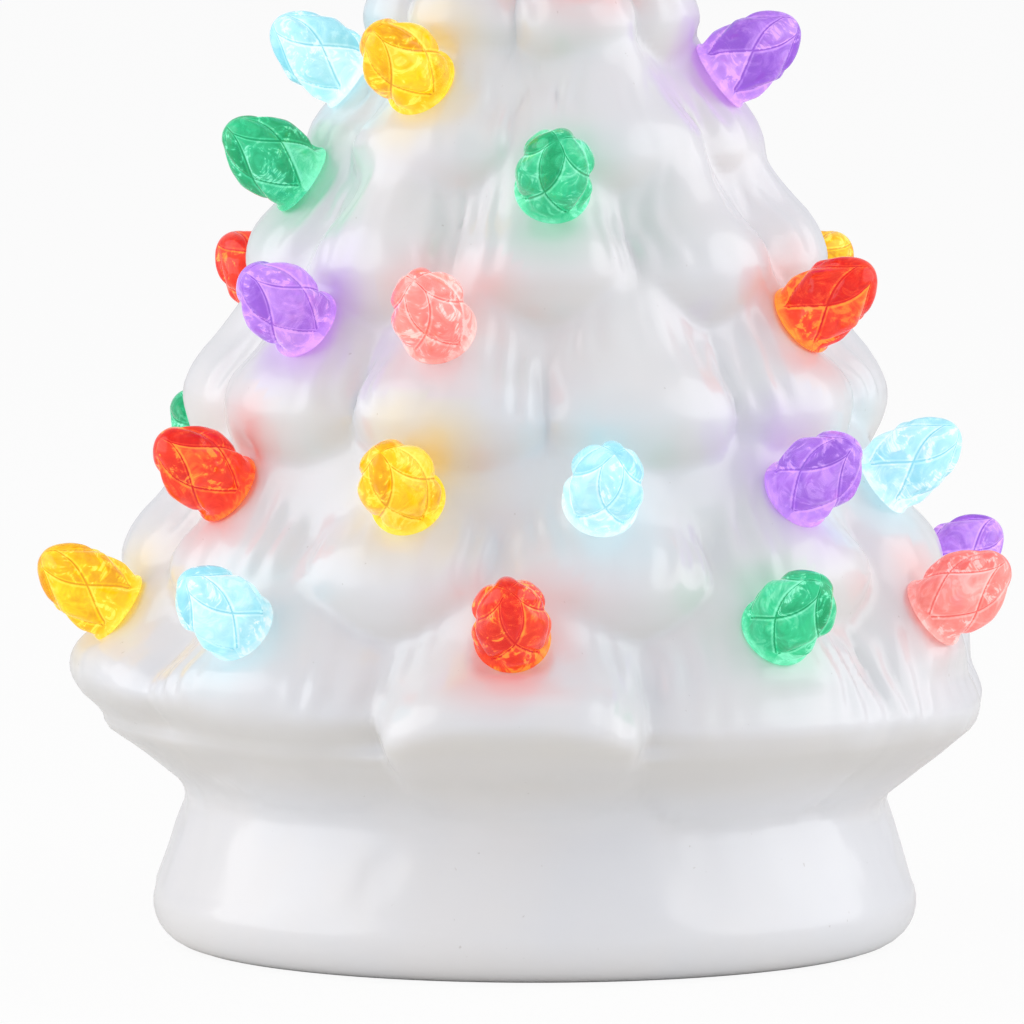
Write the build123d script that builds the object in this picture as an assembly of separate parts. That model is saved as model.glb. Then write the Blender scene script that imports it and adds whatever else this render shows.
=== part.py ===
from build123d import *
import os
from math import cos, hypot, radians, sin, sqrt

# Millimetres, +Z up, origin on the table under the middle of the tree.
# Angles are in degrees from the front (-Y) and turn towards +X.

# Ceramic shell
wall = 4.0
foot_width = 9.9
foot_rounding = 5.5
neck_radius = 45.9
neck_height = 19.6
neck_rounding = 4.0
flare_radius = 57.8
flare_rise = 13.0
skirt_overhang = 5.6
skirt_rise = 1.6
bough_height = 9.0
tip_radius = 4.8
tip_height = 154.0
crease_allowance = 4.0

# One line for each tier of boughs, from the skirt up: boughs, angle of the first bough,
# way in from the skirt to the tip, way up from the skirt to the tip, share of bough_height
tiers = [
    (10, -3.0, 0.000, 0.000, 1.00),
    (11, 11.4, 0.154, 0.137, 1.00),
    (10, -16.0, 0.283, 0.316, 1.00),
    (9, 2.0, 0.423, 0.467, 0.96),
    (6, 27.0, 0.563, 0.589, 0.84),
    (7, 18.0, 0.695, 0.730, 0.78),
    (5, 0.0, 0.816, 0.841, 0.67),
    (4, 36.0, 0.922, 0.928, 0.53),
]

# Section of a bough, in bough heights from its crown: outset, rise, depth of the valley
# beside it, droop of its middle. The nose ends and the slope starts on the same level ring.
nose_rows = [
    (-1.45, -1.45, 0.10, 0.00),
    (-0.95, -1.22, 0.28, 0.50),
    (-0.42, -0.98, 0.46, 0.62),
    (-0.10, -0.45, 0.53, 0.42),
    (0.00, 0.06, 0.53, 0.00),
]
slope_rows = [
    (0.00, 0.06, 0.53, 0.00),
    (-0.12, 0.40, 0.54, 0.00),
    (-0.55, 1.00, 0.54, 0.00),
    (-0.98, 1.50, 0.48, 0.00),
    (-1.55, 2.05, 0.34, 0.00),
    (-2.40, 2.75, 0.10, 0.00),
]
deepest_valley = max(depth for outset, rise, depth, droop in slope_rows)

# On the skirt the boughs run into one ridge: the same values, then the outset and rise of
# the first bough, which hangs free
skirt_nose_rows = [
    (-1.80, -0.55, 0.00, 0.00, -1.80, -0.55),
    (-1.10, -0.42, 0.06, 0.00, -0.30, -0.70),
    (-0.36, -0.04, 0.13, 0.10, 0.10, -0.32),
    (-0.22, 0.20, 0.13, 0.00, 0.20, 0.20),
]
skirt_slope_rows = [
    (-0.22, 0.20, 0.13, 0.00, 0.20, 0.20),
    (-0.24, 0.46, 0.30, 0.00, 0.02, 0.46),
]

# Bulbs
bulb_length = 13.0
bulb_radius = 5.0
bulb_lobes = 4
bulb_groove = 0.15
bulb_twist = 95.0
bulb_tilt = 35.0
flange_radius = 5.2
flange_thickness = 1.1
peg_radius = 2.2
peg_length = 8.0
seat_inset = 0.74
seat_rise = 1.28
seat_sink = 0.5
seat_clearance = 0.25
peg_clearance = 0.15

# Radius of the bulb along its length, as fractions
bulb_stations = [
    (0.00, 0.90),
    (0.20, 1.00),
    (0.42, 0.95),
    (0.62, 0.79),
    (0.80, 0.58),
    (0.93, 0.35),
    (1.00, 0.18),
]

# Bulbs on each tier: angle, colour
bulb_rows = {
    1: [(-74, "yellow"), (-42, "blue"), (-3, "red"), (33, "green"), (66, "pink"),
        (112, "purple"), (141, "red"), (177, "yellow"), (213, "green")],
    2: [(-57, "red"), (-20, "yellow"), (10, "blue"), (45, "purple"), (72, "blue"),
        (236, "green"), (142, "yellow"), (175, "pink"), (208, "blue")],
    3: [(-124, "red"), (-48, "purple"), (-18, "pink"), (60, "red"), (124, "yellow"),
        (164, "blue")],
    4: [(-72, "green"), (4, "green"), (162, "purple"), (202, "yellow")],
    5: [(-78, "blue"), (-37, "yellow"), (79, "purple"), (150, "red")],
    6: [(18, "red"), (121, "green"), (224, "pink")],
}

# Star on top
star_radius = 13.0
star_inner_radius = 5.6
star_rim = 2.0
star_bulge = 3.6
star_peg_radius = 2.5
star_peg_length = 10.0
star_collar_radius = 4.2
star_collar_height = 4.0
star_clearance = 0.1

# Light kit in the base
kit_recess = 1.5
kit_clearance = 0.15
gasket_thickness = 1.7
gasket_flange = 2.4
gasket_lip = 1.5
plate_thickness = 3.0
plate_margin = 0.8

cell_count = 3
cell_radius = 5.25
cell_length = 44.5
cell_nub_radius = 1.9
cell_nub_length = 1.0
cell_edge = 0.5
cell_gap = 0.6
bay_clearance = 0.5
bay_wall = 1.6

contact_thickness = 0.4
contact_width = 7.0
contact_height = 8.0
contact_gap = 0.1
spring_room = 4.0
leaf_width = 5.0
lug_width = 2.4
lug_rise = 3.0
lug_clearance = 0.3

door_thickness = 2.2
door_clearance = 0.3
hinge_setback = 3.2
hinge_pin_radius = 0.7
hinge_pin_length = 1.6
hinge_clearance = 0.1
latch_width = 9.0
latch_reach = 2.6
notch_radius = 3.0
grip_pitch = 4.0
grip_width = 1.2
grip_depth = 0.4

switch_offset = 26.0
switch_travel = 6.0
switch_wall = 1.0
switch_height = 5.5
slider_length = 8.5
slider_width = 5.4
slider_thickness = 1.6
knob_length = 4.0
knob_width = 3.0
knob_floor_gap = 0.5
knob_grip = 0.25
slide_clearance = 0.3

board_radius = 14.0
board_thickness = 1.6
post_radius = 2.4
post_height = 3.0
post_spread = 10.5
screw_radius = 0.9
screw_head_radius = 1.9
screw_head_height = 1.3
screw_slot = 0.5
screw_clearance = 0.1
led_count = 3
led_radius = 2.5
led_rim_radius = 2.9
led_rim_height = 1.0
led_height = 8.0
led_spread = 6.5
wire_radius = 0.6
wire_bend = 2.5
lead_rise = 5.0
pad_inset = 2.0
pad_angle = 48.0
switch_lead = 4.0

# Sizes that follow from those above
plate_top = kit_recess + plate_thickness
hinge_height = kit_recess + plate_thickness / 2
door_top = hinge_height + door_thickness / 2
bay_width = cell_count * 2 * cell_radius + (cell_count - 1) * cell_gap + 2 * bay_clearance
bay_length = cell_length + 2 * (contact_thickness + contact_gap) + spring_room
cell_height = door_top + bay_clearance + cell_radius
bay_roof = cell_height + cell_radius + bay_clearance
tub_top = bay_roof + bay_wall
cell_pitch = 2 * cell_radius + cell_gap
board_bottom = tub_top + post_height
board_top = board_bottom + board_thickness
half_length = bay_length / 2
half_width = bay_width / 2
hinge_x = -(half_length + hinge_setback)
hinge_corner = hypot(hinge_x - hinge_pin_radius, half_width + hinge_pin_length)
plate_radius = hinge_corner + hinge_clearance + plate_margin
opening_radius = plate_radius + gasket_thickness + 2 * kit_clearance
foot_radius = opening_radius + foot_width
foot_corner_radius = foot_radius + foot_rounding
flare_height = neck_height + flare_rise
skirt_radius = flare_radius + skirt_overhang
skirt_height = flare_height + skirt_rise
seat_radius = flange_radius + seat_clearance

os.makedirs("parts", exist_ok=True)


def around(radius, angle, height):
    """Point at a radius and an angle from the front."""
    turn = radians(angle)
    return Vector(radius * sin(turn), -radius * cos(turn), height)


def save(shape, name):
    export_step(shape, f"parts/{name}.step")


def tier_sizes(tier):
    """Crown radius, crown height and bough height of a tier."""
    boughs, first, inward, upward, share = tier
    crown = skirt_radius + inward * (tip_radius - skirt_radius)
    height = skirt_height + upward * (tip_height - skirt_height)
    return crown, height, share * bough_height


def scallop(tier, row):
    """Ring of arcs round a tier, one arc for each bough."""
    boughs, first = tier[:2]
    crown, height, size = tier_sizes(tier)
    outset, rise, depth, droop = row[:4]
    step = 360 / boughs
    valley = crown + (outset - depth) * size
    lifted = height + (rise + droop) * size
    arcs = []
    for k in range(boughs):
        middle = first + k * step
        hangs_free = k == 0 and len(row) > 4
        out, up = row[4:] if hangs_free else (outset, rise)
        arcs.append(ThreePointArc(
            around(valley, middle - step / 2, lifted),
            around(crown + out * size, middle, height + up * size),
            around(valley, middle + step / 2, lifted),
        ))
    return Wire(arcs)


def bough_tier(tier):
    """Solid of a tier, its noses and slopes lofted apart and sewn on a level ring."""
    crown, height, size = tier_sizes(tier)
    noses = nose_rows
    slopes = slope_rows[:3]
    if tier is tiers[0]:
        noses = skirt_nose_rows
        slopes = skirt_slope_rows + slope_rows[2:3]
    room = tip_height - tip_radius
    slopes = slopes + [row for row in slope_rows[3:] if height + row[1] * size < room]
    ring_level = height + slopes[0][1] * size
    skins = []
    for rows in (noses, slopes):
        loft = Solid.make_loft([scallop(tier, row) for row in rows])
        ring_cap = loft.faces().sort_by(lambda face: abs(face.center().Z - ring_level))[0]
        skins += [face for face in loft.faces() if face != ring_cap]
    return Solid(Shell(skins))


def turned(*points):
    """Solid of revolution of a closed outline of radius and height."""
    outline = make_face(Polyline([(r, 0, z) for r, z in points], close=True))
    return revolve(outline, Axis.Z)


def box(x0, x1, y0, y1, z0, z1):
    size = (x1 - x0, y1 - y0, z1 - z0)
    return Pos((x0 + x1) / 2, (y0 + y1) / 2, (z0 + z1) / 2) * Box(*size)


def rod(radius, z0, z1):
    return Pos(0, 0, (z0 + z1) / 2) * Cylinder(radius, z1 - z0)


# Ceramic shell: a turned base, then the scalloped tiers lofted one above the other

base_outline = make_face(Polyline([
    (0, 0, 0),
    (foot_corner_radius, 0, 0),
    (neck_radius, 0, neck_height),
    (flare_radius, 0, flare_height),
    (neck_radius - wall, 0, flare_height + wall),
    (0, 0, flare_height + wall),
], close=True))
foot_corner = base_outline.vertices().sort_by_distance((foot_corner_radius, 0, 0))[0]
base_outline = fillet(foot_corner, foot_rounding)
neck_corner = base_outline.vertices().sort_by_distance((neck_radius, 0, neck_height))[0]
base_outline = fillet(neck_corner, neck_rounding)
ceramic = revolve(base_outline, Axis.Z)

tier_solids = []
for tier in tiers:
    tier_solids.append(bough_tier(tier))
top_crown, top_height, top_size = tier_sizes(tiers[-1])
ceramic = ceramic.fuse(*tier_solids, rod(tip_radius, top_height, tip_height))

# Hollow inside, following the valleys a wall's thickness in
hollow = [(0, wall), (foot_corner_radius - 2 * wall, wall)]
hollow.append((neck_radius - wall, neck_height))
for tier in tiers[:-2]:
    crown, height, size = tier_sizes(tier)
    hollow.append((crown - deepest_valley * size - wall - crease_allowance, height))
hollow_top = tier_sizes(tiers[-2])[1]
star_hole_radius = star_peg_radius + star_clearance
hollow.append((star_hole_radius, hollow_top))
hollow.append((0, hollow_top))
hollow_tools = [
    turned(*hollow),
    rod(opening_radius, -wall, 2 * wall),
    rod(star_hole_radius, hollow_top - wall, tip_height + wall),
]

# Seats and peg holes for the bulbs
bulb_places = {}
for row, places in bulb_rows.items():
    crown, height, size = tier_sizes(tiers[row - 1])
    for number, (angle, colour) in enumerate(places, start=1):
        out = around(cos(radians(bulb_tilt)), angle, sin(radians(bulb_tilt)))
        middle = around(crown - seat_inset * size, angle, height + seat_rise * size)
        seat = Plane(origin=middle - out * seat_sink, z_dir=out)
        bulb_places[f"bulb_row{row}_{number:02d}_{colour}"] = seat.location
seat_tool = rod(seat_radius, 0, bulb_length)
hole_tool = rod(peg_radius + peg_clearance, -2 * peg_length, 1)
cutters = []
for seat in bulb_places.values():
    cutters += [seat * seat_tool, seat * hole_tool]

ceramic = ceramic.cut(*hollow_tools, *cutters)
save(ceramic.solids().sort_by(SortBy.VOLUME)[-1], "ceramic_tree")

# Bulb: two lobed lofts with opposite twists, crossed to leave raised diamonds


def lobed_ring(radius, height, turn):
    """Ring of outward arcs that meet in the grooves."""
    step = 360 / bulb_lobes
    arcs = []
    for k in range(bulb_lobes):
        start = turn + k * step
        arcs.append(ThreePointArc(
            around(radius * (1 - bulb_groove), start, height),
            around(radius, start + step / 2, height),
            around(radius * (1 - bulb_groove), start + step, height),
        ))
    return Wire(arcs)


body_length = bulb_length - flange_thickness
twisted = []
for hand in (1, -1):
    rings = []
    for along, share in bulb_stations:
        level = flange_thickness + along * body_length
        rings.append(lobed_ring(share * bulb_radius, level, hand * bulb_twist * along))
    twisted.append(Solid.make_loft(rings))
bulb_body = (twisted[0] & twisted[1]).solids()[0]
flange = rod(flange_radius, 0, flange_thickness)
flange = fillet(flange.edges().sort_by(Axis.Z)[-1], flange_thickness * 0.6)
peg = rod(peg_radius, -peg_length, 0)
peg = chamfer(peg.edges().sort_by(Axis.Z)[0], peg_radius * 0.2)
bulb = (flange + peg + bulb_body).solids()[0]
for name, seat in bulb_places.items():
    save(bulb.moved(seat), name)

# Star: two flat pyramids on a rim, with a collar and a peg
star_middle = tip_height + star_collar_height + star_radius * 0.75
points = []
for k in range(10):
    reach = star_radius if k % 2 == 0 else star_inner_radius
    turn = radians(36 * k)
    points.append((reach * sin(turn), reach * cos(turn)))
star_face = Plane.XZ * make_face(Polyline([(x, y) for x, y in points], close=True))
star_face = star_face.moved(Location((0, 0, star_middle)))
star = extrude(star_face, star_rim / 2, both=True)
for side in (1, -1):
    outline = star_face.moved(Location((0, side * star_rim / 2, 0))).faces()[0].outer_wire()
    peak = Vertex(0, side * (star_rim / 2 + star_bulge), star_middle)
    star = star + Solid.make_loft([outline, peak], ruled=True)
collar_height = star_middle - tip_height
collar = Pos(0, 0, tip_height + collar_height / 2) * Cone(
    star_collar_radius, star_rim, collar_height)
star = star + collar + rod(star_peg_radius, tip_height - star_peg_length, tip_height)
save(star.solids()[0], "star_topper")

# Rubber gasket round the light kit, hooked over the edge of the opening
gasket_inner = plate_radius + kit_clearance
gasket_outer = opening_radius - kit_clearance
gasket_bottom = wall + kit_clearance
gasket = turned(
    (gasket_inner, kit_recess),
    (gasket_outer, kit_recess),
    (gasket_outer, gasket_bottom),
    (gasket_outer + gasket_flange, gasket_bottom),
    (gasket_outer + gasket_flange, gasket_bottom + gasket_lip),
    (gasket_inner, gasket_bottom + gasket_lip),
)
save(gasket, "base_gasket")

# Light base: a round plate with a battery tub, opened from below
door_end = half_length + bay_wall
latch_end = door_end + latch_reach
base = rod(plate_radius, kit_recess, plate_top)
base += box(-half_length - bay_wall, half_length + bay_wall,
            -half_width - bay_wall, half_width + bay_wall, kit_recess, tub_top)
opening_x = hinge_x - door_thickness / 2 - door_clearance
base -= box(-half_length, half_length, -half_width, half_width, plate_top - 1, bay_roof)
base -= box(opening_x, door_end + door_clearance,
            -half_width, half_width, 0, plate_top)
base -= box(door_end, latch_end + door_clearance,
            -latch_width / 2 - door_clearance, latch_width / 2 + door_clearance, 0, plate_top)
pin_hole = hinge_pin_length + hinge_clearance
for side in (1, -1):
    hole = Cylinder(hinge_pin_radius + hinge_clearance, 2 * pin_hole, rotation=(90, 0, 0))
    base -= Pos(hinge_x, side * half_width, hinge_height) * hole

# Slot for the switch knob
slot_length = knob_length + switch_travel + 2 * slide_clearance
slot_width = knob_width + 2 * slide_clearance
knob_rest = -switch_travel / 2
base -= Pos(0, switch_offset, kit_recess) * Box(slot_length, slot_width, 4 * plate_thickness)

# Posts for the circuit board and slits for the contact lugs
post_places = [(-post_spread, 0), (post_spread, 0)]
for x, y in post_places:
    base += Pos(x, y, 0) * rod(post_radius, tub_top - 0.5, board_bottom)
    base -= Pos(x, y, 0) * rod(screw_radius + screw_clearance,
                               tub_top, board_bottom + 1)
cell_rows = [(k - (cell_count - 1) / 2) * cell_pitch for k in range(cell_count)]
plate_face = half_length - contact_gap - contact_thickness
lug_places = [(1, cell_rows[0]), (-1, cell_rows[-1])]
for side, y in lug_places:
    x = side * (plate_face + contact_thickness / 2)
    base -= Pos(x, y, tub_top) * Box(
        contact_thickness + 2 * contact_gap, lug_width + 2 * lug_clearance, 4 * bay_wall)
save(base.solids()[0], "light_base")

# Battery door: turns on two pins at one end and snaps shut at the other
door = box(hinge_x, door_end, -half_width + door_clearance, half_width - door_clearance,
           hinge_height - door_thickness / 2, door_top)
door += box(door_end - 1, latch_end, -latch_width / 2, latch_width / 2,
            hinge_height - door_thickness / 2, door_top)
door_half = half_width - door_clearance
door += Pos(hinge_x, 0, hinge_height) * Cylinder(
    door_thickness / 2, 2 * door_half, rotation=(90, 0, 0))
door += Pos(hinge_x, 0, hinge_height) * Cylinder(
    hinge_pin_radius, 2 * (half_width + hinge_pin_length), rotation=(90, 0, 0))
door -= Pos(latch_end, 0, hinge_height - door_thickness / 2) * Cylinder(
    notch_radius, door_thickness)
for k in range(3):
    groove_x = hinge_x / 2 + k * grip_pitch
    door -= Pos(groove_x, 0, hinge_height - door_thickness / 2) * Box(
        grip_width, bay_width / 2, 2 * grip_depth)
save(door.solids()[0], "battery_door")

# Batteries, each turned end for end from its neighbour
for k, y in enumerate(cell_rows):
    facing = 1 if k % 2 == 0 else -1
    tip = plate_face - contact_gap
    cell = rod(cell_radius, tip - cell_length, tip - cell_nub_length)
    cell = fillet(cell.edges(), cell_edge)
    cell += rod(cell_nub_radius, tip - cell_nub_length - cell_edge, tip)
    turn = Rot(0, 90 * facing, 0)
    save((Pos(0, y, cell_height) * turn * cell).solids()[0], f"battery_{k + 1}")

# Contacts: flat plates at the bay's ends, a folded leaf behind each negative end
leaf_reach = spring_room - contact_gap
leaf_height = contact_height * 0.8
leg_length = sqrt(leaf_reach ** 2 + (leaf_height / 2) ** 2)


def flat_contact(side, y0, y1):
    low = cell_height - contact_height / 2
    high = cell_height + contact_height / 2
    near = side * plate_face
    far = side * (plate_face + contact_thickness)
    return box(min(near, far), max(near, far), y0, y1, low, high)


def leaf(side, y):
    """Strip folded to a V that presses on the cell."""
    back = side * plate_face
    peak = side * (plate_face - leaf_reach)
    outline = Polyline([
        (back, y, cell_height - leaf_height / 2),
        (peak, y, cell_height - contact_thickness / 2),
        (peak, y, cell_height + contact_thickness / 2),
        (back, y, cell_height + leaf_height / 2),
        (back, y, cell_height + leaf_height / 2 - 2 * contact_thickness),
        (peak + side * contact_thickness * 1.6, y, cell_height),
        (back, y, cell_height - leaf_height / 2 + 2 * contact_thickness),
    ], close=True)
    return extrude(make_face(outline), leaf_width / 2, dir=(0, 1, 0), both=True)


def lug(side, y):
    near = side * plate_face
    far = side * (plate_face + contact_thickness)
    return box(min(near, far), max(near, far), y - lug_width / 2, y + lug_width / 2,
               cell_height, tub_top + lug_rise)


half_contact = contact_width / 2
save((flat_contact(1, cell_rows[0] - half_contact, cell_rows[0] + half_contact)
      + lug(1, cell_rows[0])).solids()[0], "contact_positive")
save((flat_contact(-1, cell_rows[-1] - half_contact, cell_rows[-1] + half_contact)
      + leaf(-1, cell_rows[-1]) + lug(-1, cell_rows[-1])).solids()[0], "contact_negative")
save((flat_contact(1, cell_rows[1] - half_contact, cell_rows[2] + half_contact)
      + leaf(1, cell_rows[1])).solids()[0], "contact_bridge_right")
save((flat_contact(-1, cell_rows[0] - half_contact, cell_rows[1] + half_contact)
      + leaf(-1, cell_rows[0])).solids()[0], "contact_bridge_left")

# Slide switch over its slot in the plate
inner_length = slider_length + switch_travel + 2 * slide_clearance
inner_width = slider_width + 2 * slide_clearance
switch = Pos(0, switch_offset, plate_top + switch_height / 2) * Box(
    inner_length + 2 * switch_wall, inner_width + 2 * switch_wall, switch_height)
switch -= Pos(0, switch_offset, plate_top) * Box(
    inner_length, inner_width, 2 * (switch_height - switch_wall))
save(switch.solids()[0], "switch_body")

slider_bottom = plate_top + slide_clearance
slider = Pos(knob_rest, switch_offset, slider_bottom + slider_thickness / 2) * Box(
    slider_length, slider_width, slider_thickness)
slider += box(knob_rest - knob_length / 2, knob_rest + knob_length / 2,
              switch_offset - knob_width / 2, switch_offset + knob_width / 2,
              knob_floor_gap, slider_bottom + slider_thickness)
for k in (-1, 0, 1):
    slider -= Pos(knob_rest + k * knob_length / 4, switch_offset, knob_floor_gap) * Box(
        knob_length / 8, knob_width, 2 * knob_grip)
save(slider.solids()[0], "switch_knob")

# Circuit board, its screws and lamps
board = rod(board_radius, board_bottom, board_top)
for x, y in post_places:
    board -= Pos(x, y, 0) * rod(screw_radius + screw_clearance, board_bottom - 1, board_top + 1)
save(board.solids()[0], "circuit_board")

screws = []
for x, y in post_places:
    screw = rod(screw_radius, tub_top + screw_clearance, board_top)
    screw += rod(screw_head_radius, board_top, board_top + screw_head_height)
    slot = Pos(0, 0, board_top + screw_head_height) * Box(
        2 * screw_head_radius, screw_slot, 2 * screw_slot)
    screws.append((Pos(x, y, 0) * (screw - slot)).solids()[0])
save(Compound(children=screws), "board_screws")

for k in range(led_count):
    place = around(led_spread, 60 + 360 * k / led_count, 0)
    lamp = rod(led_radius, board_top, board_top + led_height)
    lamp = fillet(lamp.edges().sort_by(Axis.Z)[-1], led_radius * 0.96)
    lamp += rod(led_rim_radius, board_top, board_top + led_rim_height)
    save((Pos(place.X, place.Y, 0) * lamp).solids()[0], f"led_{k + 1}")


def wire(*points):
    """Round lead with its corners bent."""
    path = FilletPolyline(*points, radius=wire_bend)
    start = Plane(origin=path @ 0, z_dir=path % 0)
    return sweep(start * Circle(wire_radius), path=path).solids()[0]


lead_height = board_top + lead_rise
lug_top = tub_top + lug_rise
lug_x = plate_face + contact_thickness / 2
switch_top = plate_top + switch_height
pad_front = around(board_radius - pad_inset, pad_angle, 0)
pad_back = around(board_radius - pad_inset, 180, 0)
save(wire((lug_x, cell_rows[0], lug_top), (lug_x, cell_rows[0], lead_height),
          (pad_front.X, pad_front.Y, lead_height), (pad_front.X, pad_front.Y, board_top)),
     "wire_positive")
save(wire((-lug_x, cell_rows[-1], lug_top), (-lug_x, cell_rows[-1], lead_height),
          (-switch_lead, switch_offset, lead_height), (-switch_lead, switch_offset, switch_top)),
     "wire_switch")
save(wire((switch_lead, switch_offset, switch_top), (switch_lead, switch_offset, lead_height),
          (pad_back.X, pad_back.Y, lead_height), (pad_back.X, pad_back.Y, board_top)),
     "wire_return")
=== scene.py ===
import math

import bpy
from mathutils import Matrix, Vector


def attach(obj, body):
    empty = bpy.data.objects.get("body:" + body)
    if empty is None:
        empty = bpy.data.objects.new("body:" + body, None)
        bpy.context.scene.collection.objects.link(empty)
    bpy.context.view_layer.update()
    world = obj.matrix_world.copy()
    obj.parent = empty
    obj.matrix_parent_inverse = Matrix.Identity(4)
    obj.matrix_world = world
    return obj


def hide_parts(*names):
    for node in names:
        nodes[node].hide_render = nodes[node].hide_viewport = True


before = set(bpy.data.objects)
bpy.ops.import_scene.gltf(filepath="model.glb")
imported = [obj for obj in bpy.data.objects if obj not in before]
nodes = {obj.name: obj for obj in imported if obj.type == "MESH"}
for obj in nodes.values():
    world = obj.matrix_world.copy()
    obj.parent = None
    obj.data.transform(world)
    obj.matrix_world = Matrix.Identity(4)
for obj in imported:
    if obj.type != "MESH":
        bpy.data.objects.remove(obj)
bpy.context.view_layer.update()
scene = bpy.context.scene
MM = 0.001

# Sizes in millimetres, as in the part's source. Angles are in degrees from the
# front and turn to the right.
SKIRT_RADIUS = 63.4
SKIRT_HEIGHT = 34.2
BOUGH_HEIGHT = 9.0
TIP_RADIUS = 4.8
TIP_HEIGHT = 154.0
TIP_HOLE = 2.6
WALL = 4.0
OPENING_RADIUS = 36.98
FOOT_CORNER = 52.38
FOOT_ROUNDING = 5.5
NECK_RADIUS = 45.9
NECK_HEIGHT = 19.6
# Room under the boughs' creases for the inner wall
CREASE_ROOM = 4.0
# The glaze rounds the neck, so the flare starts higher and ends further in than the source's.
# Above it the blank falls back out of sight behind the boughs
NECK_BLEND = 4.5
FLARE_START = 21.5
FLARE_RADIUS = 56.2
FLARE_HEIGHT = 29.6
FLARE_FALL = 0.75

# Tiers from the skirt up: boughs, angle of the first, way in and way up from the skirt to
# the tip, share of a bough height
TIER_PLACES = [
    (10, -3.0, 0.000, 0.000, 1.00),
    (11, 11.4, 0.154, 0.137, 1.00),
    (10, -16.0, 0.283, 0.316, 1.00),
    (9, 2.0, 0.423, 0.467, 0.96),
    (6, 27.0, 0.563, 0.589, 0.84),
    (7, 18.0, 0.695, 0.730, 0.78),
    (5, 0.0, 0.816, 0.841, 0.67),
    (4, 36.0, 0.922, 0.928, 0.53),
]
TIERS = []
for boughs, first, inward, upward, share in TIER_PLACES:
    crown = SKIRT_RADIUS + inward * (TIP_RADIUS - SKIRT_RADIUS)
    height = SKIRT_HEIGHT + upward * (TIP_HEIGHT - SKIRT_HEIGHT)
    TIERS.append((boughs, first, crown, height, share * BOUGH_HEIGHT))

# Section of a bough in bough heights: outset, rise. Towards its sides a bough shrinks
# about a root behind its nose, so that it ends like a fingertip
BOUGH_ROWS = [
    (-1.90, -1.45),
    (-1.08, -1.25),
    (-0.48, -0.97),
    (-0.20, -0.62),
    (-0.05, -0.26),
    (0.00, 0.04),
    (-0.07, 0.34),
    (-0.24, 0.64),
    (-0.55, 1.00),
    (-0.92, 1.50),
    (-1.26, 2.05),
    (-1.90, 2.75),
]
# The skirt's boughs run into the flare below and fall back steeper above
SKIRT_ROWS = [
    (-2.35, -1.95),
    (-1.58, -1.46),
    (-1.05, -1.07),
    (-0.80, -0.89),
    (-0.57, -0.71),
    (-0.35, -0.52),
    (-0.11, -0.26),
] + BOUGH_ROWS[5:10] + [
    (-1.45, 2.05),
    (-2.35, 2.75),
]
# Fall of a section past its ends, the root behind the nose, breadth of a bough as a share of
# a circle's, depth and rounding of the notches, and what is left of their depth up the slope
SECTION_FALL = 9.0
BOUGH_ROOT = 0.95
BOUGH_BREADTH = 0.9
NOTCH_DEPTH = 0.97
NOTCH_ROUND = 0.25
SLOPE_VALLEY = 0.85

# A core behind the boughs fills their deepest notches: its depth below the crowns in
# millimetres and as a share of their radius, and the way in and up over which it sets in
CORE_DEPTH = 2.0
CORE_SHARE = 0.06
CORE_ENTRY = 7.0
CORE_RISE = 18.0

# The skirt's ridge: how far its crowns and notches shrink, the rise at which it ends, and
# how much lower and shorter it is on the right, in bough heights; its blend in millimetres
SKIRT_CROWN = 0.34
SKIRT_VALLEY = 0.68
SKIRT_END = 0.8
SKIRT_LEAN = 0.25
SKIRT_SHORT = 0.24
SKIRT_BLEND = 7.0
SKIRT_BLEND_FROM = -6.0
SKIRT_BLEND_TO = 2.0

# The tongue at the front, in bough heights: swell, steeper underside, height of the crest
# and droop of its sides
TONGUE_SWELL = 0.36
TONGUE_STEEP = 1.3
TONGUE_SAG = -0.10
TONGUE_DROOP = 0.45

# Bulbs, one row on each of the lower tiers: angle, colour
BULB_ROWS = {
    1: [(-74, "yellow"), (-42, "blue"), (-3, "red"), (33, "green"), (66, "pink"),
        (112, "purple"), (141, "red"), (177, "yellow"), (213, "green")],
    2: [(-57, "red"), (-20, "yellow"), (10, "blue"), (45, "purple"), (72, "blue"),
        (236, "green"), (142, "yellow"), (175, "pink"), (208, "blue")],
    3: [(-124, "red"), (-48, "purple"), (-18, "pink"), (60, "red"), (124, "yellow"),
        (164, "blue")],
    4: [(-72, "green"), (4, "green"), (162, "purple"), (202, "yellow")],
    5: [(-78, "blue"), (-37, "yellow"), (79, "purple"), (150, "red")],
    6: [(18, "red"), (121, "green"), (224, "pink")],
}
# Length and radius of a bulb, and the share of its length that is flange
BULB_LENGTH = 12.7
BULB_RADIUS = 4.95
FLANGE_SHARE = 0.07
BULB_TILT = 35.0
# Seat of a bulb on its bough, inwards and up from the nose in bough heights; sink of the flange
SEAT_INSET = 0.74
SEAT_RISE = 1.28
SEAT_SINK = 0.5

# Mesh of the shell: height of a row in millimetres and number of columns
ROW_STEP = 0.95
SHELL_COLUMNS = 520

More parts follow.
